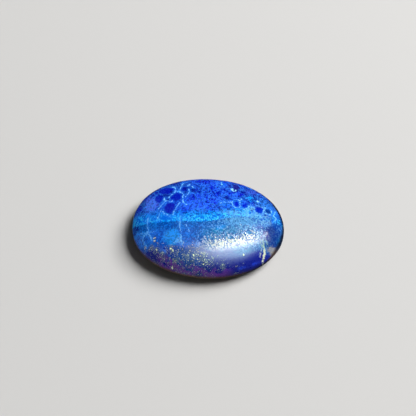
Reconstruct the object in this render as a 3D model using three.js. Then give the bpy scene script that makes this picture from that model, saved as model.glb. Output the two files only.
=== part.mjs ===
// A polished oval cabochon of lapis lazuli, lying on its flattened back.
// Millimetres, +Z up, length along X. The origin is under the middle, where the stone rests.
import * as THREE from "three";

// Driving sizes
const LENGTH = 45; // tip to tip along X
const WIDTH = 33.2; // across the middle along Y
const HEIGHT = 10.2; // base to the top of the dome
const GIRDLE = 2.6; // height of the edge, where the outline is widest
const BASE_REACH = 0.64; // size of the flat base as a share of the outline
const OUTLINE_POWER = 2.1; // 2 is a true ellipse, more is fuller at the four shoulders
const DOME_POWER = 2.12; // 2 is an elliptic dome, more is flatter on top

// A hand-cut edge is never quite even: two slow waves of about a tenth of a millimetre
const WAVES = [
  { count: 3, depth: 0.004, turn: 0.6 },
  { count: 5, depth: 0.0022, turn: 2.0 },
];

// Fineness of the mesh
const SEGMENTS = 112;
const DOME_ROWS = 27;
const UNDER_ROWS = 9;
const BASE_ROWS = 3;

// One side of the stone from the middle of its base to the top of its dome.
// x is the share of the outline reached at that height, y is the height.
function sideProfile() {
  const points = [];
  for (let i = 0; i < BASE_ROWS; i += 1) {
    points.push(new THREE.Vector2((BASE_REACH * i) / BASE_ROWS, 0));
  }
  for (let i = 0; i <= UNDER_ROWS; i += 1) {
    const turn = (i / UNDER_ROWS) * (Math.PI / 2);
    const reach = BASE_REACH + (1 - BASE_REACH) * Math.sin(turn);
    points.push(new THREE.Vector2(reach, GIRDLE * (1 - Math.cos(turn))));
  }
  for (let i = 1; i < DOME_ROWS; i += 1) {
    const turn = (i / DOME_ROWS) * (Math.PI / 2);
    const lift = Math.sin(turn) ** (2 / DOME_POWER);
    points.push(new THREE.Vector2(Math.cos(turn), GIRDLE + (HEIGHT - GIRDLE) * lift));
  }
  points.push(new THREE.Vector2(0, HEIGHT));
  return points;
}

// How far the outline lies from the middle in a given direction of the unit circle.
function outlinePoint(angle) {
  const swell = WAVES.reduce(
    (sum, wave) => sum + wave.depth * Math.sin(wave.count * angle + wave.turn),
    1,
  );
  const along = Math.cos(angle);
  const across = Math.sin(angle);
  return new THREE.Vector2(
    Math.sign(along) * Math.abs(along) ** (2 / OUTLINE_POWER) * swell * (LENGTH / 2),
    Math.sign(across) * Math.abs(across) ** (2 / OUTLINE_POWER) * swell * (WIDTH / 2),
  );
}

// Turns the round unit stone into the oval one.
function shapeToOutline(geometry) {
  const at = geometry.getAttribute("position");
  for (let i = 0; i < at.count; i += 1) {
    const reach = Math.hypot(at.getX(i), at.getY(i));
    const edge = outlinePoint(Math.atan2(at.getY(i), at.getX(i)));
    at.setXY(i, edge.x * reach, edge.y * reach);
  }
  geometry.computeBoundingBox();
  const middle = geometry.boundingBox.getCenter(new THREE.Vector3());
  geometry.translate(-middle.x, -middle.y, 0);
  geometry.computeVertexNormals();
  return geometry;
}

const group = new THREE.Group();
group.name = "lapis_lazuli";

// The stone: one piece of rock, ground and polished all over
const stoneGeometry = shapeToOutline(
  new THREE.LatheGeometry(sideProfile(), SEGMENTS).rotateX(Math.PI / 2),
);
const stoneMaterial = new THREE.MeshStandardMaterial({
  name: "lapis",
  color: new THREE.Color(0.03, 0.09, 0.42),
  roughness: 0.22,
});
const stone = new THREE.Mesh(stoneGeometry, stoneMaterial);
stone.name = "lapis_stone";
group.add(stone);

export default group;
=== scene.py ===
# A polished oval cabochon of lapis lazuli, ground to a low dome and lying on its flattened back.
# Lengths are metres in Blender. The stone's own sizes and markings are given in millimetres.
import math

import bpy
from mathutils import Euler, Matrix, Vector


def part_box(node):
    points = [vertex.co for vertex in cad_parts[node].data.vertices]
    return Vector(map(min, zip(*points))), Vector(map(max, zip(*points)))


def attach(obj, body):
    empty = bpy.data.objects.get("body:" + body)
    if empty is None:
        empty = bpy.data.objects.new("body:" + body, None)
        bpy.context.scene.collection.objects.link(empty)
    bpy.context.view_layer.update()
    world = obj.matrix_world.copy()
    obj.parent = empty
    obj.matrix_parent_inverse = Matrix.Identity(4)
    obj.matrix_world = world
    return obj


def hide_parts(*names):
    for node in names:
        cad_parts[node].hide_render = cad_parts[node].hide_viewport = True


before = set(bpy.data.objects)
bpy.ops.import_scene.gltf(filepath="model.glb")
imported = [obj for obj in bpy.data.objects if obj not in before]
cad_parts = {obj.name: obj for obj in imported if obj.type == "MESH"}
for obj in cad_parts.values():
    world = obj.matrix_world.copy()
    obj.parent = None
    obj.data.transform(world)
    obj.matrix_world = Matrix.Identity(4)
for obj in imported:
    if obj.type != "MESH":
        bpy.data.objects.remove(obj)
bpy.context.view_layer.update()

scene = bpy.context.scene
MM = 0.001


# ---- The camera ----
# A steady stand camera with a medium long lens, looking down on the stone from the front
# and a few degrees from its right.
CAMERA_TURN = 3.375  # degrees round the stone, from the front towards +X
CAMERA_HEIGHT = 57.95  # degrees above the table
CAMERA_DISTANCE = 242.4  # to the point looked at
CAMERA_LENS = 70
CAMERA_SENSOR = 36
CAMERA_NEAREST = 0.01
CAMERA_AIM = Vector((-0.38, 6.19, 4.0))  # the middle of the frame falls just behind the dome's top


def direction(turn, height):
    """The way from the stone to something at a turn from the front and a height, in degrees."""
    turn, height = math.radians(turn), math.radians(height)
    flat = math.cos(height)
    return Vector((math.sin(turn) * flat, -math.cos(turn) * flat, math.sin(height)))


def add_object(name, data):
    """A new object in the scene."""
    made = bpy.data.objects.new(name, data)
    scene.collection.objects.link(made)
    return made


lens = bpy.data.cameras.new("camera")
lens.lens = CAMERA_LENS
lens.sensor_width = CAMERA_SENSOR
lens.clip_start = CAMERA_NEAREST
camera = add_object("camera", lens)
toward_camera = direction(CAMERA_TURN, CAMERA_HEIGHT)
camera.location = (CAMERA_AIM + toward_camera * CAMERA_DISTANCE) * MM
camera.rotation_euler = toward_camera.to_track_quat("Z", "Y").to_euler()
scene.camera = camera


# ---- The stone's shape ----
# One piece of rock, sawn, ground to an oval with a domed top and a flattened back, and
# polished by hand. The edge and the dome keep the slow waves that hand work leaves.
LENGTH = 45.0
WIDTH = 33.2
HEIGHT = 10.2
GIRDLE = 2.6  # height of the edge
BASE_REACH = 0.64  # share of the outline that is flat underneath
OUTLINE_POWER = 2.1  # 2 is a true oval, and more is squarer
DOME_POWER = 2.12
EDGE_WAVES = ((3, 0.004, 0.6), (5, 0.0022, 2.0))  # count round the edge, depth, turn
ROWS = 121  # odd, so that one row of points runs along the edge
SLOW_WAVE = (0.11, 0.10)  # waves in a millimetre, and their whole depth
QUICK_WAVE = (0.9, 0.008)
BASE_KEPT = 0.4  # the waves fade out below this height
UNDER_SHARE = 0.5  # share of the under rows on the curved part, the rest are on the flat
BAKE_MAP = "OFBake"
TOP_ISLAND = (0.5, 0.632, 0.49)  # middle and half length of the dome on the map
BACK_ISLAND = (0.2, 0.128, 0.168)
DOME_SPREAD = 0.4  # how much the dome's steep sides are spread out on the map
BACK_SPREAD = 0.15


class Wire:
    """A node's output. Python's operators on it add the nodes that do the sum."""

    def __init__(self, net, socket):
        self.net, self.socket = net, socket
        self.vector = socket.type == "VECTOR"

    def _join(self, operation, first, second):
        sides = (first, second)
        if any(isinstance(s, Wire) and s.vector for s in sides):
            return self.net.vector(operation, *(self._spread(s) for s in sides))
        return self.net.math(operation, *sides)

    def _spread(self, side):
        if isinstance(side, (int, float)):
            return (side, side, side)
        return side

    def __add__(self, other):
        return self._join("ADD", self, other)

    def __radd__(self, other):
        return self._join("ADD", other, self)

    def __sub__(self, other):
        return self._join("SUBTRACT", self, other)

    def __rsub__(self, other):
        return self._join("SUBTRACT", other, self)

    def __mul__(self, other):
        return self._join("MULTIPLY", self, other)

    def __rmul__(self, other):
        return self._join("MULTIPLY", other, self)

    def __truediv__(self, other):
        return self._join("DIVIDE", self, other)

    def __rtruediv__(self, other):
        return self._join("DIVIDE", other, self)

    def __pow__(self, other):
        return self._join("POWER", self, other)

    def __neg__(self):
        return self._join("MULTIPLY", self, -1.0)

    def size(self):
        return self.net.math("ABSOLUTE", self)

    def least(self, other):
        return self.net.math("MINIMUM", self, other)

    def most(self, other):
        return self.net.math("MAXIMUM", self, other)

    def held(self):
        """Kept between 0 and 1."""
        return self.least(1.0).most(0.0)

    def rise(self, low, high):
        """0 at low, 1 at high, with soft ends. Low may be the larger one."""
        settings = {"interpolation_type": "SMOOTHSTEP"}
        limits = {"From Min": low, "From Max": high}
        return self.net.add("ShaderNodeMapRange", settings, Value=self, **limits).out("Result")

    def parts(self):
        """The three numbers of a vector."""
        made = self.net.add("ShaderNodeSeparateXYZ", {}, **{"0": self})
        return [made.out(i) for i in range(3)]


class Made:
    """A node that has been added."""

    def __init__(self, net, node):
        self.net, self.node = net, node

    def out(self, which=0):
        return Wire(self.net, self.node.outputs[which])

    def vector_out(self, which):
        """A colour output that is used as a vector."""
        wire = self.out(which)
        wire.vector = True
        return wire


class Net:
    """A node tree, and the one way of adding a node to it."""

    def __init__(self, tree):
        self.tree = tree
        tree.nodes.clear()

    def add(self, kind, settings=None, **inputs):
        node = self.tree.nodes.new(kind)
        for name, value in (settings or {}).items():
            setattr(node, name, value)
        for name, value in inputs.items():
            socket = node.inputs[int(name) if name.isdigit() else name]
            if isinstance(value, Wire):
                self.tree.links.new(value.socket, socket)
            else:
                socket.default_value = value
        return Made(self, node)

    def math(self, operation, *sides):
        inputs = {str(i): side for i, side in enumerate(sides)}
        return self.add("ShaderNodeMath", {"operation": operation}, **inputs).out()

    def vector(self, operation, *sides):
        inputs = {str(i): side for i, side in enumerate(sides)}
        which = "Value" if operation in ("DOT_PRODUCT", "LENGTH", "DISTANCE") else "Vector"
        return self.add("ShaderNodeVectorMath", {"operation": operation}, **inputs).out(which)

    def place(self, x, y, z):
        """A vector from three numbers or wires."""
        return self.add("ShaderNodeCombineXYZ", {}, X=x, Y=y, Z=z).out()

    def noise(self, at, scale, detail=2.0, roughness=0.5, three=False):
        """Cloudy noise about 0.5, or three of them at once as a vector."""
        made = self.add(
            "ShaderNodeTexNoise",
            {"noise_dimensions": "3D"},
            Vector=at, Scale=scale, Detail=detail, Roughness=roughness,
        )
        return made.vector_out(1) if three else made.out(0)


def outline_point(net, turn, length, width, power):
    """The place on the stone's edge in a direction round its middle."""
    swell = 1.0
    for count, depth, start in EDGE_WAVES:
        swell = swell + depth * net.math("SINE", turn * count + start)
    along = net.math("COSINE", turn)
    across = net.math("SINE", turn)
    x = net.math("SIGN", along) * along.size() ** (2.0 / power) * swell * length / 2.0
    y = net.math("SIGN", across) * across.size() ** (2.0 / power) * swell * width / 2.0
    return x, y


def group_tree(name, sizes):
    """A Geometry Nodes tree with one named input for each size. Returns its net and inputs."""
    tree = bpy.data.node_groups.new(name, "GeometryNodeTree")
    for size, value in sizes.items():
        kind = "NodeSocketInt" if isinstance(value, int) else "NodeSocketFloat"
        tree.interface.new_socket(size, in_out="INPUT", socket_type=kind).default_value = value
    tree.interface.new_socket("Geometry", in_out="OUTPUT", socket_type="NodeSocketGeometry")
    net = Net(tree)
    given = net.add("NodeGroupInput")
    return net, {socket.name: Wire(net, socket) for socket in given.node.outputs if socket.name}


def mesh_from(tree, name, sizes):
    """Runs a Geometry Nodes tree and returns the plain mesh object that it makes."""
    holder = add_object(name, bpy.data.meshes.new(name))
    modifier = holder.modifiers.new("shape", "NODES")
    modifier.node_group = tree
    for item in tree.interface.items_tree:
        if item.in_out == "INPUT" and item.name in sizes:
            modifier[item.identifier] = sizes[item.name]
    bpy.context.view_layer.update()
    evaluated = holder.evaluated_get(bpy.context.evaluated_depsgraph_get())
    mesh = bpy.data.meshes.new_from_object(evaluated)
    holder.modifiers.remove(modifier)
    holder.data = mesh
    mesh.name = name
    return holder


STONE_SIZES = {
    "Length": LENGTH,
    "Width": WIDTH,
    "Height": HEIGHT,
    "Girdle": GIRDLE,
    "Base reach": BASE_REACH,
    "Outline power": OUTLINE_POWER,
    "Dome power": DOME_POWER,
    "Rows": ROWS,
}


def stone_tree(material):
    """The cabochon: a cube's grid blown up to a ball, and the ball pressed to the stone's shape."""
    net, size = group_tree("cabochon", STONE_SIZES)
    quarter_turn = math.pi / 2.0
    rows = size["Rows"]
    cube = net.add(
        "GeometryNodeMeshCube", {},
        **{"Size": (2.0, 2.0, 2.0), "Vertices X": rows, "Vertices Y": rows, "Vertices Z": rows},
    ).out(0)
    corner = net.add("GeometryNodeInputPosition").out()
    even = [net.math("TANGENT", part * (math.pi / 4.0)) for part in corner.parts()]
    ball = net.vector("NORMALIZE", net.place(*even))
    marked = net.add(
        "GeometryNodeStoreNamedAttribute",
        {"data_type": "FLOAT_VECTOR", "domain": "POINT"},
        Geometry=cube, Name="ball", Value=ball,
    ).out()
    ball = net.add(
        "GeometryNodeInputNamedAttribute", {"data_type": "FLOAT_VECTOR"}, Name="ball"
    ).out()
    ball_x, ball_y, ball_z = ball.parts()

    up = ball_z.most(0.0)
    dome_reach = (1.0 - up * up).most(0.0) ** 0.5
    dome_z = size["Girdle"] + (size["Height"] - size["Girdle"]) * up ** (2.0 / size["Dome power"])
    down = net.math("ARCSINE", (-ball_z).most(0.0).least(1.0)) / quarter_turn
    bend = (down / UNDER_SHARE).least(1.0) * quarter_turn
    inward = ((down - UNDER_SHARE) / (1.0 - UNDER_SHARE)).most(0.0)
    curve = net.math("COSINE", bend)
    under_reach = (size["Base reach"] + (1.0 - size["Base reach"]) * curve) * (1.0 - inward)
    under_z = size["Girdle"] * (1.0 - net.math("SINE", bend))
    is_up = net.math("GREATER_THAN", ball_z, -1e-6)
    reach = under_reach + (dome_reach - under_reach) * is_up
    z = under_z + (dome_z - under_z) * is_up

    turn = net.math("ARCTAN2", ball_y, ball_x)
    edge_x, edge_y = outline_point(net, turn, size["Length"], size["Width"], size["Outline power"])
    shaped = net.add(
        "GeometryNodeSetPosition", {},
        Geometry=marked, Position=net.place(edge_x * reach, edge_y * reach, z),
    ).out()

    # Hand polishing leaves the surface very slightly uneven. The flat base stays flat.
    at = net.add("GeometryNodeInputPosition").out()
    off_base = at.parts()[2].rise(0.0, BASE_KEPT)
    slow = net.noise(at, SLOW_WAVE[0], 1.0) - 0.5
    quick = net.noise(at, QUICK_WAVE[0], 2.0) - 0.5
    lift = (slow * SLOW_WAVE[1] + quick * QUICK_WAVE[1]) * off_base
    normal = net.add("GeometryNodeInputNormal").out(0)
    worn = net.add(
        "GeometryNodeSetPosition", {},
        Geometry=shaped, Offset=normal * net.place(lift, lift, lift),
    ).out()

    # Two islands on the map: the dome, large, and the back, small. Their steep sides are spread out
    rim = 1.0 - net.math("ARCSINE", up.least(1.0)) / quarter_turn
    top_radius = dome_reach * (1.0 - DOME_SPREAD) + rim * DOME_SPREAD
    back_radius = under_reach * (1.0 - BACK_SPREAD) + (1.0 - down) * BACK_SPREAD
    face_up = net.add(
        "GeometryNodeFieldOnDomain", {"data_type": "FLOAT", "domain": "FACE"}, Value=ball_z
    ).out()
    on_top = net.math("GREATER_THAN", face_up, 0.0)
    across = 2.0 / size["Length"]
    unit_x, unit_y = edge_x * across, edge_y * across
    top_map = net.place(
        TOP_ISLAND[0] + unit_x * top_radius * TOP_ISLAND[2],
        TOP_ISLAND[1] + unit_y * top_radius * TOP_ISLAND[2], 0.0,
    )
    back_map = net.place(
        BACK_ISLAND[0] + unit_x * back_radius * BACK_ISLAND[2],
        BACK_ISLAND[1] - unit_y * back_radius * BACK_ISLAND[2], 0.0,
    )
    either_map = back_map + (top_map - back_map) * net.place(on_top, on_top, on_top)
    mapped = net.add(
        "GeometryNodeStoreNamedAttribute",
        {"data_type": "FLOAT2", "domain": "CORNER"},
        Geometry=worn, Name=BAKE_MAP, Value=either_map,
    ).out()
    smooth = net.add("GeometryNodeSetShadeSmooth", {}, Geometry=mapped).out()
    dressed = net.add("GeometryNodeSetMaterial", {}, Geometry=smooth, Material=material).out()
    net.add("NodeGroupOutput", {}, Geometry=dressed)
    return net.tree


lapis = bpy.data.materials.new("lapis")
stone = mesh_from(stone_tree(lapis), "polished_stone", STONE_SIZES)
stone.data.transform(Matrix.Scale(MM, 4))
low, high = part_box("lapis_stone")
corners = [Vector(v.co) for v in stone.data.vertices]
for axis in (0, 1):
    middle = (max(c[axis] for c in corners) + min(c[axis] for c in corners)) / 2.0
    slide = Vector((0, 0, 0))
    slide[axis] = (low[axis] + high[axis]) / 2.0 - middle
    stone.data.transform(Matrix.Translation(slide))
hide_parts("lapis_stone")
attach(stone, "root")


# ---- The lapis ----
# Lazurite in beds, from ink blue to azure, with pale seams of calcite between the grains and
# flecks of pyrite along the lower side. Polished until the hard grains shine like glass.


def shade(red, green, blue):
    """A colour from its three bytes, as the light that it gives back."""
    parts = (red / 255.0, green / 255.0, blue / 255.0)
    light = [p / 12.92 if p <= 0.04045 else ((p + 0.055) / 1.055) ** 2.4 for p in parts]
    return (*light, 1.0)


INK = shade(0, 24, 184)
VIOLET_INK = shade(12, 24, 176)
DARK_INK = shade(0, 8, 134)
ROYAL = shade(0, 12, 192)
ROYAL_PALE = shade(0, 30, 218)
VIOLET = shade(14, 24, 226)
VIOLET_PALE = shade(36, 84, 255)
NIGHT = shade(6, 14, 118)
VIOLET_NIGHT = shade(26, 18, 124)
HAZY = shade(80, 108, 240)
AZURE = shade(0, 160, 255)
AZURE_DEEP = shade(0, 98, 232)
SLATE = shade(0, 86, 190)
SLATE_PALE = shade(28, 114, 200)
SLATE_DARK = shade(0, 62, 150)
MIDDLE = shade(0, 98, 214)
MIDDLE_DEEP = shade(0, 76, 200)
MIDDLE_DULL = shade(0, 116, 176)
MIDDLE_PALE = shade(20, 154, 255)
LEFT_BLUE_AND_PAINTED_LIGHT = shade(40, 118, 255)
STEEL = shade(34, 94, 164)
NAVY = shade(12, 72, 160)
NAVY_LEFT = shade(4, 24, 150)
NAVY_PAINTED_LIGHT = shade(80, 140, 255)
DEEP_ROYAL = shade(14, 30, 146)
PLUM = shade(128, 64, 184)
SEAM = shade(134, 220, 255)
SEAM_DEEP = shade(30, 126, 248)
SEAM_LEFT = shade(104, 190, 255)
SEAM_PALE = shade(124, 200, 232)
SPECK = shade(54, 144, 255)
PALE_GRAIN = shade(116, 188, 245)
MIDDLE_GRAIN = shade(30, 146, 255)
PAINTED_GLINT_WHITE = shade(212, 224, 206)
BRIGHT_GRAIN = shade(50, 124, 255)
AZURE_GRAIN = shade(70, 212, 255)
PALE_CYAN_PAINTED_SHEEN = shade(106, 192, 244)
GREY_CYAN_PAINTED_SHEEN = shade(84, 156, 210)
CRACKED = shade(0, 76, 176)
DEEP_AZURE = shade(0, 44, 124)
DEEP_RIGHT = shade(4, 40, 120)
CREAM = shade(214, 222, 196)
GREENISH = shade(140, 182, 166)
TAN = shade(164, 156, 138)
SPARKLE = shade(150, 222, 244)
PYRITE = shade(214, 230, 182)
OLIVE = shade(104, 136, 158)
MATRIX = shade(32, 62, 98)
DARK_GRAIN = shade(0, 10, 120)
AZURE_PIT = shade(0, 84, 212)
DULL_GRAIN = shade(0, 46, 150)
RIM_BROWN = shade(96, 66, 40)
RIM_NAVY = shade(10, 12, 34)
NO_LIGHT = shade(0, 0, 0)

GRAINS_PER_MM = 3.0
GRAIN_WOBBLE = 0.25  # how uneven the grains' edges are
GRAIN_SCATTER = 0.25  # how far from its middle a grain may take its colour
FACETS_PER_MM = 3.1
GRAIN_TILT = 0.21
FLAT = (1.0, 1.0, 0.0)  # leaves out the height, for a mark that is seen from above
FAR = 99.0  # more than any distance on the stone
ROUGHNESS = 0.175  # of the polish where nothing softens or clears it
STONE_IOR = 1.37
# Where each bed starts and where it is whole, in millimetres across the stone at its left end
BED_CLIMB = 2.7  # the beds lie so much higher at the right end
AZURE_STARTS = (2.0, 0.2)
SLATE_STARTS = (-2.1, -2.6)
SLATE_FADES = (-3.3, -2.6)
MIDDLE_STARTS = (-4.3, -5.3)
FOOT_STARTS = (-8.8, -11.2)
RIM_FADES = (3.9, 2.8)  # heights between which the dark edge fades out, at the front

# Patches of other rock: middle, half sizes, softness of the edge, strength, colour
UPPER_PATCHES = (
    ((-12.0, 10.2), (8.0, 4.0), 0.35, 0.85, DARK_INK),
    ((12.6, 9.8), (6.0, 3.4), 0.4, 0.9, NIGHT),
    ((-17.3, 4.6), (2.5, 3.2), 0.4, 0.95, HAZY),
    ((12.8, 10.3), (2.6, 1.6), 0.6, 0.4, HAZY),
    ((-16.8, 8.3), (1.5, 1.3), 0.4, 0.8, INK),
    ((-19.8, 5.2), (0.8, 1.9), 0.4, 0.8, DARK_INK),
    ((-19.3, 1.7), (1.2, 1.0), 0.4, 0.7, DARK_INK),
    ((-16.2, 1.0), (0.5, 0.5), 0.4, 0.7, DARK_INK),
    ((-12.5, 9.6), (3.4, 1.9), 0.4, 0.8, INK),
    ((-3.4, 10.0), (2.6, 2.0), 0.35, 0.85, INK),
    ((-9.8, 12.1), (1.0, 0.6), 0.4, 0.7, DARK_INK),
    ((-1.5, 5.2), (5.0, 2.4), 0.6, 0.9, VIOLET),
    ((-4.4, 2.7), (4.4, 1.5), 0.6, 0.85, VIOLET_PALE),
    ((7.6, 8.4), (2.4, 1.3), 0.5, 0.8, VIOLET),
    ((0.5, 13.0), (3.4, 1.6), 0.6, 0.6, VIOLET),
    ((7.3, 11.9), (1.7, 1.9), 0.3, 0.95, VIOLET_NIGHT),
    ((15.2, 7.6), (2.6, 2.4), 0.4, 0.8, NIGHT),
    ((14.4, 7.0), (1.2, 1.9), 0.4, 0.8, NIGHT),
    ((11.9, 7.8), (0.8, 1.2), 0.5, 0.95, AZURE),
    ((4.6, 12.8), (0.7, 1.5), 0.5, 0.6, AZURE_DEEP),
    ((4.8, 4.1), (2.2, 0.9), 0.6, 0.8, AZURE_DEEP),
    ((18.0, 5.4), (3.2, 3.4), 0.5, 0.85, STEEL),
)
LOWER_PATCHES = (
    ((-9.9, -7.0), (2.7, 2.4), 0.2, 0.95, MIDDLE_PALE),
    # Partly painted light: this patch is the rock's blue made lighter to make up for the shade on the
    # front-left
    ((-16.6, -7.4), (3.6, 2.6), 0.6, 0.45, LEFT_BLUE_AND_PAINTED_LIGHT),
    ((-8.0, -8.4), (1.2, 0.8), 0.5, 0.5, SEAM),
    ((-16.0, -0.9), (3.2, 1.3), 0.5, 0.6, AZURE_DEEP),
    ((-20.6, -3.4), (1.1, 1.2), 0.3, 0.95, DARK_INK),
    # Partly painted light: these two patches at the far left are made lighter to make up for the shade
    # there
    ((-19.3, -4.9), (1.9, 0.6), 0.4, 0.7, MIDDLE_PALE),
    ((-19.9, -7.0), (1.6, 2.6), 0.4, 0.35, NAVY_PAINTED_LIGHT),
    ((3.8, -3.9), (1.3, 0.8), 0.5, 0.8, AZURE),
    # These two pale cyan patches are partly the rock's paler colour and partly a painted reflection of
    # the window on the right
    ((9.6, -1.2), (5.0, 2.4), 0.5, 0.85, GREY_CYAN_PAINTED_SHEEN),
    ((8.6, 1.4), (4.6, 0.8), 0.5, 0.8, PALE_CYAN_PAINTED_SHEEN),
    ((15.0, 0.4), (3.0, 2.8), 0.4, 0.85, CRACKED),
    ((17.0, 3.2), (2.8, 2.2), 0.5, 0.85, CRACKED),
    ((12.3, 3.9), (0.9, 1.0), 0.4, 0.85, SEAM_PALE),
    ((19.6, -2.3), (2.6, 1.7), 0.4, 0.9, DEEP_AZURE),
    ((20.0, 0.8), (2.6, 2.4), 0.3, 0.95, SLATE_DARK),
    ((18.4, -4.4), (2.8, 3.4), 0.5, 0.95, DEEP_RIGHT),
)
# Dark rounded grains with a pale edge: middle, half sizes, colour
GRAINS = (
    ((-11.2, 2.2), (1.8, 2.05), VIOLET_INK),
    ((-9.7, 6.5), (1.85, 1.8), INK),
    ((-12.9, 9.4), (2.5, 1.5), INK),
    ((-7.4, 9.8), (1.6, 1.05), INK),
    ((-7.3, 9.9), (0.9, 0.5), DARK_INK),
    ((-11.4, 8.7), (0.5, 0.6), DARK_INK),
    ((-14.9, 6.2), (1.3, 1.6), INK),
    ((-12.4, 7.1), (1.1, 0.45), DARK_INK),
    ((-12.3, -1.1), (1.9, 0.85), AZURE_DEEP),
    ((-12.2, 5.4), (0.35, 0.45), DARK_INK),
    ((5.1, 6.7), (0.8, 0.65), DARK_INK),
    ((1.7, 6.0), (0.35, 0.3), DARK_INK),
    ((8.1, 4.6), (0.75, 1.1), ROYAL),
    ((10.5, 4.2), (0.8, 0.8), ROYAL),
    ((9.9, 9.9), (0.8, 0.65), DARK_INK),
    ((7.7, 11.9), (1.1, 1.5), VIOLET_NIGHT),
    ((14.8, 3.7), (1.2, 1.25), INK),
    ((17.4, 4.0), (0.95, 0.95), DEEP_AZURE),
    ((16.6, 2.3), (0.45, 0.4), DEEP_AZURE),
    ((12.6, 3.1), (0.3, 0.25), INK),
    ((-5.8, 11.4), (0.5, 0.55), INK),
    ((-5.1, 9.1), (0.7, 0.9), DARK_INK),
)
# Thin pale seams, as the points that they pass through
SEAMS = (
    ((-14.6, -1.0), (-14.2, 0.6), (-13.8, 1.5)),
    ((-14.8, 2.0), (-14.0, 3.2), (-13.3, 4.2), (-13.0, 5.0), (-13.4, 6.3)),
    ((-13.9, 1.6), (-13.2, 0.9), (-12.5, 0.2), (-11.6, -0.2), (-11.0, -0.5)),
    ((-10.3, 0.0), (-9.9, 1.1), (-9.5, 2.0), (-9.2, 2.8), (-8.5, 4.2)),
    (
        (-7.7, 5.2), (-7.8, 6.2), (-7.6, 7.3), (-8.3, 8.2), (-9.3, 8.6), (-9.1, 9.4), (-8.7, 10.2),
        (-8.5, 11.3), (-8.2, 12.4),
    ),
    ((-9.4, 8.6), (-10.2, 9.2), (-10.4, 10.1), (-10.9, 10.8), (-11.7, 11.1)),
    ((-10.4, 9.0), (-10.5, 8.2), (-11.2, 7.3), (-12.0, 6.4)),
    ((-13.0, 4.9), (-12.2, 5.0), (-11.4, 4.6), (-10.6, 4.9)),
    ((-7.7, 5.2), (-7.5, 4.4), (-7.0, 3.8), (-6.4, 3.3)),
    ((-6.3, 9.7), (-5.8, 8.2), (-6.6, 7.2), (-6.9, 6.2)),
    ((-6.9, 10.9), (-6.5, 11.8), (-5.4, 11.1), (-5.1, 10.2)),
    ((-8.0, -0.6), (-7.9, -2.4), (-7.9, -4.3), (-7.4, -5.4), (-7.2, -7.2), (-7.0, -8.8)),
    ((-5.8, -2.5), (-6.3, -3.2), (-5.7, -4.2), (-5.1, -5.5)),
    ((-17.5, -0.6), (-17.6, -1.8), (-17.3, -3.4), (-17.0, -5.2), (-16.4, -6.4), (-15.8, -7.6)),
    ((-15.4, -5.2), (-17.0, -5.2), (-18.2, -5.8), (-18.6, -7.0), (-18.0, -8.2), (-17.2, -9.4)),
    ((-15.5, -5.25), (-17.0, -5.15), (-18.6, -5.1), (-19.6, -4.7)),
    ((3.4, 4.5), (4.7, 4.9), (6.7, 5.1)),
    (
        (6.8, 5.2), (7.3, 6.1), (8.2, 6.5), (9.1, 6.1), (9.0, 5.1), (9.2, 4.2), (8.8, 3.5), (8.0, 3.2),
        (7.1, 3.9), (6.8, 5.2),
    ),
    ((9.1, 6.1), (9.7, 7.0)),
    ((9.1, 3.5), (10.0, 3.0), (11.0, 3.2), (11.4, 4.1), (12.0, 4.7), (13.0, 4.4)),
    ((16.9, 5.1), (16.1, 4.4), (16.0, 2.8), (15.3, 1.6)),
    ((18.2, 5.1), (18.6, 4.4), (18.4, 3.2), (17.6, 2.7), (16.7, 2.9)),
    ((13.6, 3.2), (13.1, 2.0)),
    ((19.7, 4.8), (19.1, 3.2), (19.9, 2.1), (19.2, 1.0), (18.7, 0.1)),
    ((3.2, 13.8), (3.5, 12.4)),
)
# The cream calcite vein near the right end, and its wisps
VEIN = (
    (16.2, -6.0), (16.4, -7.2), (16.7, -8.3), (16.9, -9.2), (16.6, -10.1), (16.4, -11.0), (16.6, -12.0),
)
VEIN_EDGE = (0.36, 0.18)  # where a line starts and where it is whole, from its middle
WISPS = (
    ((15.3, -6.4), (15.9, -7.6), (15.8, -9.0), (15.6, -10.4)),
    ((16.9, -5.3), (17.2, -6.0), (17.5, -6.6)),
)
WISP_EDGE = (0.2, 0.05)
TAN_PATCH = ((19.2, -8.2), (1.2, 1.6))  # middle and half sizes
# A pale streak low on the right, along the edge
STREAK = ((9.5, -14.3), (12.4, -13.3), (15.2, -11.6))
STREAK_EDGE = (0.34, 0.05)
# The bright chips of clear calcite: points along each, and its half width
CHIPS = (
    (((6.5, 10.8), (6.65, 10.2)), 0.36),
    (((6.65, 10.1), (7.1, 9.8), (7.6, 9.9)), 0.2),
    (((7.65, 10.4), (7.7, 10.1)), 0.28),
    (((14.3, 7.1), (14.5, 6.9)), 0.34),
)
# Rock that is broken up by a close net of seams: middle and half sizes
CRACKED_PATCH = ((14.4, 1.7), (4.3, 3.8))
# The nets of hair lines: cells in a millimetre, half width, and the cloud values where they start
NETS = ((0.7, 0.11, 0.46, 0.56), (1.2, 0.12, 0.47, 0.57))
# The small flecks of pyrite: cells in a millimetre, radius in a cell, and how many cells hold one
FLECKS = ((3.0, 0.3, 0.4), (4.4, 0.36, 0.4))
# The larger grains of pyrite: middle and radius
NUGGETS = (
    ((-15.0, -7.0), 0.3), ((-15.0, -7.95), 0.32), ((-17.8, -9.3), 0.24), ((-10.1, -10.3), 0.36),
    ((-9.5, -10.95), 0.28), ((-0.4, -14.15), 0.3), ((10.8, -11.0), 0.2), ((-3.3, -12.1), 0.24),
    ((9.0, -13.9), 0.2), ((-8.6, -13.4), 0.26), ((-9.4, -14.8), 0.24), ((-14.1, -10.5), 0.24),
)
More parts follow.
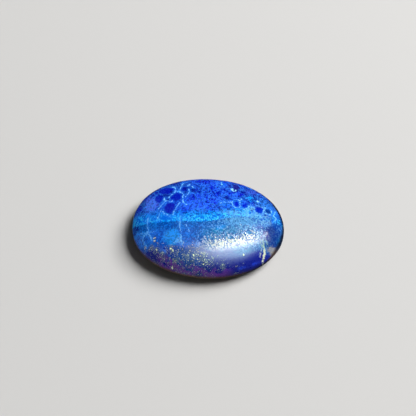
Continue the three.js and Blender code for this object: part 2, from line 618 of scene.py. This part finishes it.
# Where the small flecks crowd together: middle and radius
CLUSTERS = (
    ((-13.8, -8.6), 0.4), ((-15.8, -9.7), 0.7), ((-14.2, -10.5), 0.8), ((-12.5, -11.7), 0.8),
    ((-12.1, -12.8), 0.6), ((-10.1, -9.6), 0.4), ((-9.8, -11.2), 0.5), ((-8.5, -13.4), 0.8),
    ((-5.1, -12.5), 0.6), ((-6.3, -12.1), 0.4), ((-3.2, -12.0), 0.6), ((-0.5, -11.8), 0.5),
    ((5.1, -14.4), 0.7), ((0.2, -13.4), 0.5),
)


SOCKETS = {"number": "NodeSocketFloat", "vector": "NodeSocketVector", "colour": "NodeSocketColor"}


def start_group(name, takes, gives):
    """A node group for a material, from its sockets' names and kinds. Returns its net and inputs."""
    tree = bpy.data.node_groups.new(name, "ShaderNodeTree")
    for socket, kind in takes.items():
        tree.interface.new_socket(socket, in_out="INPUT", socket_type=SOCKETS[kind])
    for socket, kind in gives.items():
        tree.interface.new_socket(socket, in_out="OUTPUT", socket_type=SOCKETS[kind])
    net = Net(tree)
    given = net.add("NodeGroupInput")
    return net, [given.out(socket) for socket in takes]


def blend(share, first, second):
    """A colour part of the way from the first to the second."""
    made = share.net.add("ShaderNodeMix", {"data_type": "RGBA"}, **{"0": share, "6": first, "7": second})
    return made.out(2)


def line_group():
    """How far a place lies from a straight line, or an earlier distance if that is less."""
    kinds = {"Place": "vector", "Start": "vector", "Run": "vector", "Nearest": "number"}
    inner, (place, start, run, nearest) = start_group("from_line", kinds, {"Distance": "number"})
    offset = place - start
    share = (inner.vector("DOT_PRODUCT", offset, run) / inner.vector("DOT_PRODUCT", run, run)).held()
    gap = inner.vector("LENGTH", offset - run * inner.place(share, share, share))
    inner.add("NodeGroupOutput", {}, Distance=gap.least(nearest))
    return inner.tree


def oval_group():
    """How far out in an oval a place lies, with 1 on its edge, or an earlier value if less."""
    kinds = {"Place": "vector", "Middle": "vector", "Per half": "vector", "Nearest": "number"}
    inner, (place, middle, per_half, nearest) = start_group("from_oval", kinds, {"Distance": "number"})
    gap = inner.vector("LENGTH", (place - middle) * per_half)
    inner.add("NodeGroupOutput", {}, Distance=gap.least(nearest))
    return inner.tree


def patch_group():
    """Lays an oval patch of another rock over a colour."""
    kinds = {
        "Colour": "colour", "Place": "vector", "Middle": "vector", "Per half": "vector",
        "Outer": "number", "Inner": "number", "Strength": "number", "Rock": "colour",
    }
    inner, given = start_group("patch", kinds, {"Result": "colour"})
    colour, place, middle, per_half, outer, within, strength, rock = given
    gap = inner.vector("LENGTH", (place - middle) * per_half)
    inner.add("NodeGroupOutput", {}, Result=blend(gap.rise(outer, within) * strength, colour, rock))
    return inner.tree


FROM_LINE = line_group()
FROM_OVAL = oval_group()
PATCH = patch_group()


def line_distance(place, points, nearest=FAR):
    """How far a place lies from a line through points."""
    for start, end in zip(points, points[1:]):
        run = (end[0] - start[0], end[1] - start[1], 0.0)
        sockets = {"Place": place, "Start": (*start, 0.0), "Run": run, "Nearest": nearest}
        nearest = place.net.add("ShaderNodeGroup", {"node_tree": FROM_LINE}, **sockets).out()
    return nearest


def lines_distance(place, lines):
    """How far a place lies from the nearest of several lines."""
    nearest = FAR
    for points in lines:
        nearest = line_distance(place, points, nearest)
    return nearest


def oval(place, middle, half, nearest=FAR):
    """How far out in an oval a place lies, with 1 on its edge."""
    per_half = (1.0 / half[0], 1.0 / half[1], 0.0)
    sockets = {"Place": place, "Middle": (*middle, 0.0), "Per half": per_half, "Nearest": nearest}
    return place.net.add("ShaderNodeGroup", {"node_tree": FROM_OVAL}, **sockets).out()


def rounds_distance(place, rounds):
    """How far out in the nearest of several round spots a place lies, with 1 on its edge."""
    nearest = FAR
    for middle, radius in rounds:
        nearest = oval(place, middle, (radius, radius), nearest)
    return nearest


def lay_patch(colour, place, middle, half, soft, strength, rock):
    """A colour with a soft-edged oval patch of another rock laid over it."""
    sockets = {
        "Colour": colour, "Place": place,
        "Middle": (*middle, 0.0), "Per half": (1.0 / half[0], 1.0 / half[1], 0.0),
        "Outer": 1.0 + soft, "Inner": 1.0 - soft, "Strength": strength, "Rock": rock,
    }
    return place.net.add("ShaderNodeGroup", {"node_tree": PATCH}, **sockets).out()


def wander(at, scale, depth, detail=4.0, roughness=0.6, three=False):
    """Cloudy noise about nought, with a whole depth in millimetres."""
    return (at.net.noise(at, scale, detail, roughness, three) - 0.5) * depth


def mosaic(at, scale, feature="F1"):
    """The node that breaks the rock up into cells, with so many in a millimetre."""
    return at.net.add("ShaderNodeTexVoronoi", {"feature": feature}, Vector=at, Scale=scale)


def drawn_for(cell):
    """The node that draws a random number and a random vector for each cell."""
    return cell.net.add("ShaderNodeTexWhiteNoise", {"noise_dimensions": "3D"}, Vector=cell)


lapis.use_nodes = True
net = Net(lapis.node_tree)
at = net.add("ShaderNodeTexCoord").out("Object") * (1.0 / MM)
z = at.parts()[2]
small_push = wander(at, 2.1, 1.5, 2.0, 0.5, three=True)

# The rock is a mosaic of grains, and each takes its colour from one place near its middle.
# All the numbers that x, y, z and the values made from them are held against are millimetres.
grain_at = at + small_push * GRAIN_WOBBLE
centre = mosaic(grain_at, GRAINS_PER_MM).out("Position")
drawn = drawn_for(centre)
chance = drawn.out(0)
aside = drawn.vector_out(1) - 0.5
spot = centre + aside * GRAIN_SCATTER
x, y, _ = spot.parts()
push = wander(spot, 0.6, 4.0, 3.0, three=True)
torn = spot + push
marked = (at + push * 0.22 + small_push * 0.35 + aside * 0.2) * FLAT
grit = net.noise(spot, 1.5, 3.0, 0.6)
patch = net.noise(spot + (31.0, 12.0, 5.0), 0.5, 3.0, 0.6)
out = net.vector("LENGTH", torn * (2.0 / LENGTH, 2.0 / WIDTH, 0.0))  # 1 on the stone's edge

# The upper rock, royal blue with its patches
colour = blend(patch.rise(0.48, 0.66), ROYAL, ROYAL_PALE)
for spread in UPPER_PATCHES:
    colour = lay_patch(colour, torn, *spread)

# The beds below it, which climb towards the right: azure, slate, then a middle blue
level = y - x.rise(-3.0, 13.0) * BED_CLIMB + wander(spot, 0.8, 1.2)
fuzzy = level + wander(spot + (0.0, 20.0, 0.0), 0.7, 4.0, roughness=0.65)
azure = blend(grit.rise(0.43, 0.53), AZURE_DEEP, AZURE)
colour = blend(fuzzy.rise(*AZURE_STARTS), colour, azure)
slate = blend(x.rise(-8.0, 4.0), SLATE, SLATE_PALE)
slate = blend(level.rise(*SLATE_FADES) * 0.6, slate, SLATE_DARK)
colour = blend(level.rise(*SLATE_STARTS), colour, slate)
middle = blend(patch.rise(0.4, 0.6), MIDDLE, MIDDLE_DEEP)
middle = blend(x.rise(-7.0, 3.0), middle, MIDDLE_DULL)
colour = blend(level.rise(*MIDDLE_STARTS), colour, middle)
for spread in LOWER_PATCHES:
    colour = lay_patch(colour, torn, *spread)

# The navy foot of the stone, and a royal blue one at the right
sunk = y + wander(spot + (0.0, 0.0, 9.0), 0.5, 5.0)
# At the left end the navy is lighter in patches away from the edge: painted light against the shade on
# the front-left
left = blend(patch.rise(0.46, 0.56) * out.rise(0.93, 0.8), NAVY_LEFT, NAVY_PAINTED_LIGHT)
navy = blend(x.rise(-7.0, -12.0), NAVY, left)
colour = blend(sunk.rise(*FOOT_STARTS), colour, navy)
right_foot = x.rise(-6.0, 4.0) * (y - x.rise(10.0, 15.0) * 3.0).rise(-10.4, -12.6)
colour = blend(right_foot, colour, DEEP_ROYAL)
streak = line_distance(marked, STREAK).rise(*STREAK_EDGE) * patch.rise(0.4, 0.52)
colour = blend(streak * 0.5, colour, VIOLET_PALE)

# Dark grains with a pale edge
nearest = FAR
for middle_point, half, rock in GRAINS:
    colour = lay_patch(colour, marked, middle_point, half, 0.1, 0.9, rock)
    nearest = oval(marked, middle_point, half, nearest)
edge = nearest.rise(0.97, 1.04) * nearest.rise(1.2, 1.06)
outside = nearest.rise(0.8, 1.1)

# Each grain is a little lighter or darker than its neighbours, less so at both ends
in_upper = fuzzy.rise(-1.0, 1.0)
in_azure = level.rise(-2.4, -2.0)
calm = 1.0 - 0.4 * x.rise(16.5, 18.5)
crest = y - x.rise(2.0, 16.0) * 3.6  # the brightest part of the polish follows this
tone = (chance - 0.5) * 1.4 + (grit - 0.5) * 1.3
crackled = oval(torn, *CRACKED_PATCH).rise(1.15, 0.75)
busy = (0.7 + 0.3 * x.rise(-12.0, 0.0)).most(1.0 - in_azure)
busy = busy * (0.3 + 0.7 * outside) * calm * sunk.rise(-10.5, -8.0)
pit = blend(in_azure, DULL_GRAIN, blend(in_upper, AZURE_PIT, DARK_GRAIN))
colour = blend(tone.rise(-0.08, -0.45) * (0.6 + 0.3 * in_upper) * busy, colour, pit)
speck_low = blend(x.rise(-5.0, 4.0), MIDDLE_GRAIN, PALE_GRAIN)
speck = blend(in_azure, speck_low, blend(in_upper, AZURE_GRAIN, BRIGHT_GRAIN))
often = (0.5 + 0.35 * in_azure - 0.45 * in_upper) * (1.0 - 0.6 * crackled)
often = often * (1.0 - 0.6 * x.rise(16.5, 18.5) * y.rise(0.0, -2.5))
colour = blend(tone.rise(0.12, 0.42) * busy * often, colour, speck)

# Painted glints: white grains painted along the upper side of the brightest part, where the grains catch
# the light
glint_band = crest.rise(-11.0, -9.2) * crest.rise(-2.5, -5.0) * x.rise(-4.0, 4.0) * x.rise(16.0, 13.0)
glint_odds = chance + 0.2 * crest.rise(-7.8, -8.8) - 0.4 * crest.rise(-9.6, -5.6)
colour = blend(glint_band * glint_odds.rise(0.56, 0.64) * 0.85, colour, PAINTED_GLINT_WHITE)

# The net of hair lines between the seams
uneven = net.noise(spot + (3.0, 8.0, 0.0), 1.3, 2.0)
nearest = lines_distance(marked, SEAMS)
beside = nearest.rise(1.7, 0.4)
web = edge * uneven.rise(0.42, 0.56) * 0.5
net_at = at + push * 0.4 + small_push * 0.35 + aside * 0.15
for scale, half_width, starts, whole in NETS:
    cells = mosaic(net_at, scale, "DISTANCE_TO_EDGE").out(0)
    there = net.noise(spot + (0.0, 0.0, 40.0 * scale), 0.3, 2.0).rise(starts, whole)
    there = (there * in_upper).most(crackled * (1.5 - scale)).most(beside * 0.6) * outside * calm
    web = (cells.rise(half_width, half_width * 0.35) * there).most(web)
broken = (0.7 + 0.3 * uneven.rise(0.36, 0.5)) * (0.85 + 0.4 * (chance - 0.5))
web_colour = blend(crackled, SPECK, SEAM_PALE)
colour = blend(web * broken * (0.7 + 0.3 * crackled), colour, web_colour)

# The seams themselves, wider where the rock is uneven and at the left end
width = 0.13 + 0.5 * (uneven - 0.45).most(0.0) + 0.12 * x.rise(-14.5, -16.5)
seams = nearest.rise(width, width * 0.5) * (0.55 + 0.45 * uneven.rise(0.38, 0.5))
seam_colour = blend(x.rise(2.0, 14.0), SEAM, SEAM_PALE)
seam_colour = blend(x.rise(-16.5, -13.5), SEAM_LEFT, seam_colour)
seam_colour = blend(tone.rise(-0.45, 0.1), SEAM_DEEP, seam_colour)
colour = blend(nearest.rise(0.9, 0.2) * in_azure * 0.25, colour, SEAM_DEEP)
colour = blend(seams, colour, seam_colour)

# Plum-coloured rock low on the front
plum_ends = x.rise(-15.0, -11.5) * x.rise(9.0, 4.0) * y.rise(-6.0, -11.0)
colour = blend(out.rise(0.88, 0.95) * plum_ends * patch.rise(0.4, 0.54) * 0.85, colour, PLUM)

# Calcite: the wisps, the vein, a tan patch and the bright chips
wisps = lines_distance(marked, WISPS).rise(*WISP_EDGE) * 0.6
vein = line_distance(marked, VEIN).rise(*VEIN_EDGE) * (0.5 + 0.5 * y.rise(-6.0, -8.0))
vein_colour = blend(y.rise(-9.0, -7.0), CREAM, GREENISH)
colour = blend(wisps.most(vein) * tone.rise(-0.8, -0.35), colour, vein_colour)
colour = blend(oval(torn, *TAN_PATCH).rise(1.3, 0.7) * (0.95 - 0.5 * chance), colour, TAN)
for points, half_width in CHIPS:
    chip = line_distance(marked, points).rise(half_width, half_width * 0.4)
    colour = blend(chip, colour, SPARKLE)

# Pyrite: small flecks in the foot, each in a dark skirt of its matrix, and larger grains
thick = (sunk + x.rise(-6.0, 8.0) * 4.0).rise(-8.2, -10.8)
thick = thick * (0.3 + 0.7 * x.rise(-20.5, -18.0) * x.rise(5.0, 0.0))
thick = thick * (1.0 - 0.4 * x.rise(-8.0, -11.0)) * (0.25 + 0.75 * grit.rise(0.44, 0.56))
colour = blend(thick * patch.rise(0.5, 0.6) * x.rise(4.0, -2.0) * 0.6, colour, MATRIX)
clustered = rounds_distance(marked, CLUSTERS).rise(1.5, 0.7) * 0.6
crowd = clustered * (0.2 + 0.6 * chance) * (1.0 - 0.5 * x.rise(-11.0, -15.0))
colour = blend(crowd, colour, OLIVE)
fools = 0.0
skirt = 0.0
for scale, radius, common in FLECKS:
    cell = mosaic(at + small_push * 0.5, scale)
    picked = drawn_for(cell.out("Position")).out(0)
    here = (picked - (1.0 - (thick * common).most(clustered))).rise(0.0, 0.04)
    fools = (cell.out("Distance").rise(radius, radius * 0.6) * here).most(fools)
    skirt = (cell.out("Distance").rise(radius * 2.2, radius * 1.2) * here).most(skirt)
colour = blend(skirt * 0.55, colour, MATRIX)
rough_edged = at * FLAT + small_push * (0.8, 0.8, 0.0)
nearest = rounds_distance(rough_edged, NUGGETS)
colour = blend(nearest.rise(1.5, 0.9) * 0.6, colour, RIM_NAVY)
fools = (nearest + tone * 0.35).rise(0.85, 0.6).most(fools)
colour = blend(fools, colour, PYRITE)

# The ground edge is darker: brown at the front where the rock is earthy, and nearly black elsewhere. The
# near-black band is partly the edge's own darker colour and partly painted shade along the outline, and
# it climbs higher at the back and at the right end
painted_shade_rise = 1.7 * y.rise(0.0, 11.0) + 1.4 * x.rise(17.0, 21.0)
rim = (z - painted_shade_rise + 1.6 * (grit - 0.5)).rise(*RIM_FADES)
earthy = y.rise(0.0, -6.0) * x.rise(15.0, 8.0)
earthy = earthy.most(x.rise(17.0, 18.5) * y.rise(-6.0, -7.5) * 0.5)
colour = blend(rim * 0.92, colour, blend(earthy, RIM_NAVY, RIM_BROWN))

# The polish is softest low on the front and clearest above the brightest part and at the right
clear = crest.rise(-5.5, -2.5).most(x.rise(15.8, 17.4))
roughness = ROUGHNESS + 0.105 * crest.rise(-8.0, -9.6) - 0.07 * clear
roughness = (roughness + 0.08 * (grit - 0.5) + 0.12 * rim + 0.1 * fools).held()
# Each grain has been worn to its own slight tilt, so some catch the light and some do not
centre = mosaic(grain_at, FACETS_PER_MM).out("Position")
tilt = drawn_for(centre).vector_out(1) - 0.5
facets = net.vector("DOT_PRODUCT", grain_at - centre, tilt) * GRAIN_TILT
worn = crest.rise(-10.8, -8.8) * (0.5 + 0.5 * x.rise(-9.0, 1.0))
worn = worn * (1.0 - 0.7 * x.rise(15.5, 18.0)) * (1.0 - 0.45 * clear)
bump = net.add("ShaderNodeBump", {}, Height=facets * (0.12 + 0.88 * worn), Strength=1.0, Distance=MM)
shader = net.add(
    "ShaderNodeBsdfPrincipled", {},
    **{
        "Base Color": colour, "Roughness": roughness, "Metallic": fools * 0.2, "IOR": STONE_IOR,
        "Normal": bump.out(), "Emission Strength": 1.0,
        # The pyrite flecks glow weakly, at 0.3 of their own colour: painted glints, not a lamp
        "Emission Color": blend(fools * 0.3, NO_LIGHT, PYRITE),
    },
)
net.add("ShaderNodeOutputMaterial", {}, Surface=shader.out())


# ---- The table and the light ----
# A plain pale table top under a large soft window on the right and behind. A long bright strip
# overhead, its bright end and two dim panels in front of it show only as reflections, and a weak
# fill from the left lights only the stone.
TABLE_COLOUR = (0.63, 0.622, 0.608, 1.0)
TABLE_REACH = 1.5
WINDOW_WAY = direction(120.5, 43.5)
WINDOW_DISTANCE = 2.0
WINDOW_SIZE = (1.2, 1.1)
WINDOW_BRIGHTNESS = 16.4
FILL_WAY = direction(288.0, 12.0)
FILL_DISTANCE = 1.2
FILL_SIZE = (0.5, 0.4)
FILL_BRIGHTNESS = 6.0
CEILING = 1.2  # height of what hangs overhead
WARM_WHITE = (1.0, 0.98, 0.93)
PALE_GREEN = (0.72, 1.0, 0.9)
# Place, length and width as shares of the ceiling's height, brightness, turn, shape and colour
OVERHEAD = {
    "strip": ((0.455, 0.045), (1.18, 0.12), 98.0, 28.0, "ELLIPSE", WARM_WHITE),
    "strip_end": ((0.8, 0.235), (0.2, 0.09), 48.0, 28.0, "RECTANGLE", WARM_WHITE),
    "near_panel": ((0.4, -0.38), (0.86, 0.26), 20.0, 8.0, "RECTANGLE", PALE_GREEN),
    "far_panel": ((0.3, -0.8), (1.1, 0.45), 3.0, 8.0, "RECTANGLE", PALE_GREEN),
}
ROOM_COLOUR = (0.9, 0.95, 1.0, 1.0)
ROOM_BRIGHTNESS = 0.045

table = add_object("table_top", bpy.data.meshes.new("table_top"))
table_corners = [(TABLE_REACH * i, TABLE_REACH * j, 0) for i, j in ((-1, -1), (1, -1), (1, 1), (-1, 1))]
table.data.from_pydata(table_corners, [], [(0, 1, 2, 3)])
plain = bpy.data.materials.new("pale_table")
plain.use_nodes = True
net = Net(plain.node_tree)
shader = net.add(
    "ShaderNodeBsdfPrincipled", {},
    **{"Base Color": TABLE_COLOUR, "Roughness": 0.9, "Specular IOR Level": 0.0},
)
net.add("ShaderNodeOutputMaterial", {}, Surface=shader.out())
table.data.materials.append(plain)
table.visible_glossy = False  # a dark room behind, as far as the polish can tell


def soft_box(name, place, size, brightness, facing, shape="RECTANGLE"):
    """A flat soft light of a given brightness. Facing turns it towards what it lights."""
    light = bpy.data.lights.new(name, "AREA")
    light.shape = shape
    light.size, light.size_y = size
    face = size[0] * size[1] * (math.pi / 4.0 if shape == "ELLIPSE" else 1.0)
    light.energy = brightness * math.pi * face
    made = add_object(name, light)
    made.location = place
    made.rotation_euler = facing
    return made


def standing_box(name, way, distance, size, brightness):
    """A soft light that stands off to one side, faces the stone and is not seen in its polish."""
    facing = way.to_track_quat("Z", "Y").to_euler()
    made = soft_box(name, way * distance, size, brightness, facing)
    made.visible_glossy = False
    return made


standing_box("window", WINDOW_WAY, WINDOW_DISTANCE, WINDOW_SIZE, WINDOW_BRIGHTNESS)
for name, (place, size, brightness, turn, shape, tint) in OVERHEAD.items():
    length, breadth = size
    glow = soft_box(
        name, Vector((*place, 1.0)) * CEILING, (length * CEILING, breadth * CEILING), brightness,
        Euler((0, 0, math.radians(turn))), shape,
    )
    glow.visible_diffuse = False
    glow.data.color = tint
fill = standing_box("fill", FILL_WAY, FILL_DISTANCE, FILL_SIZE, FILL_BRIGHTNESS)
lit_by_fill = bpy.data.collections.new("lit_by_fill")
lit_by_fill.objects.link(stone)
fill.light_linking.receiver_collection = lit_by_fill

world = bpy.data.worlds.new("room")
scene.world = world
world.use_nodes = True
net = Net(world.node_tree)
sky = net.add("ShaderNodeBackground", {}, Color=ROOM_COLOUR, Strength=ROOM_BRIGHTNESS)
net.add("ShaderNodeOutputWorld", {}, Surface=sky.out())
scene.view_settings.view_transform = "Standard"
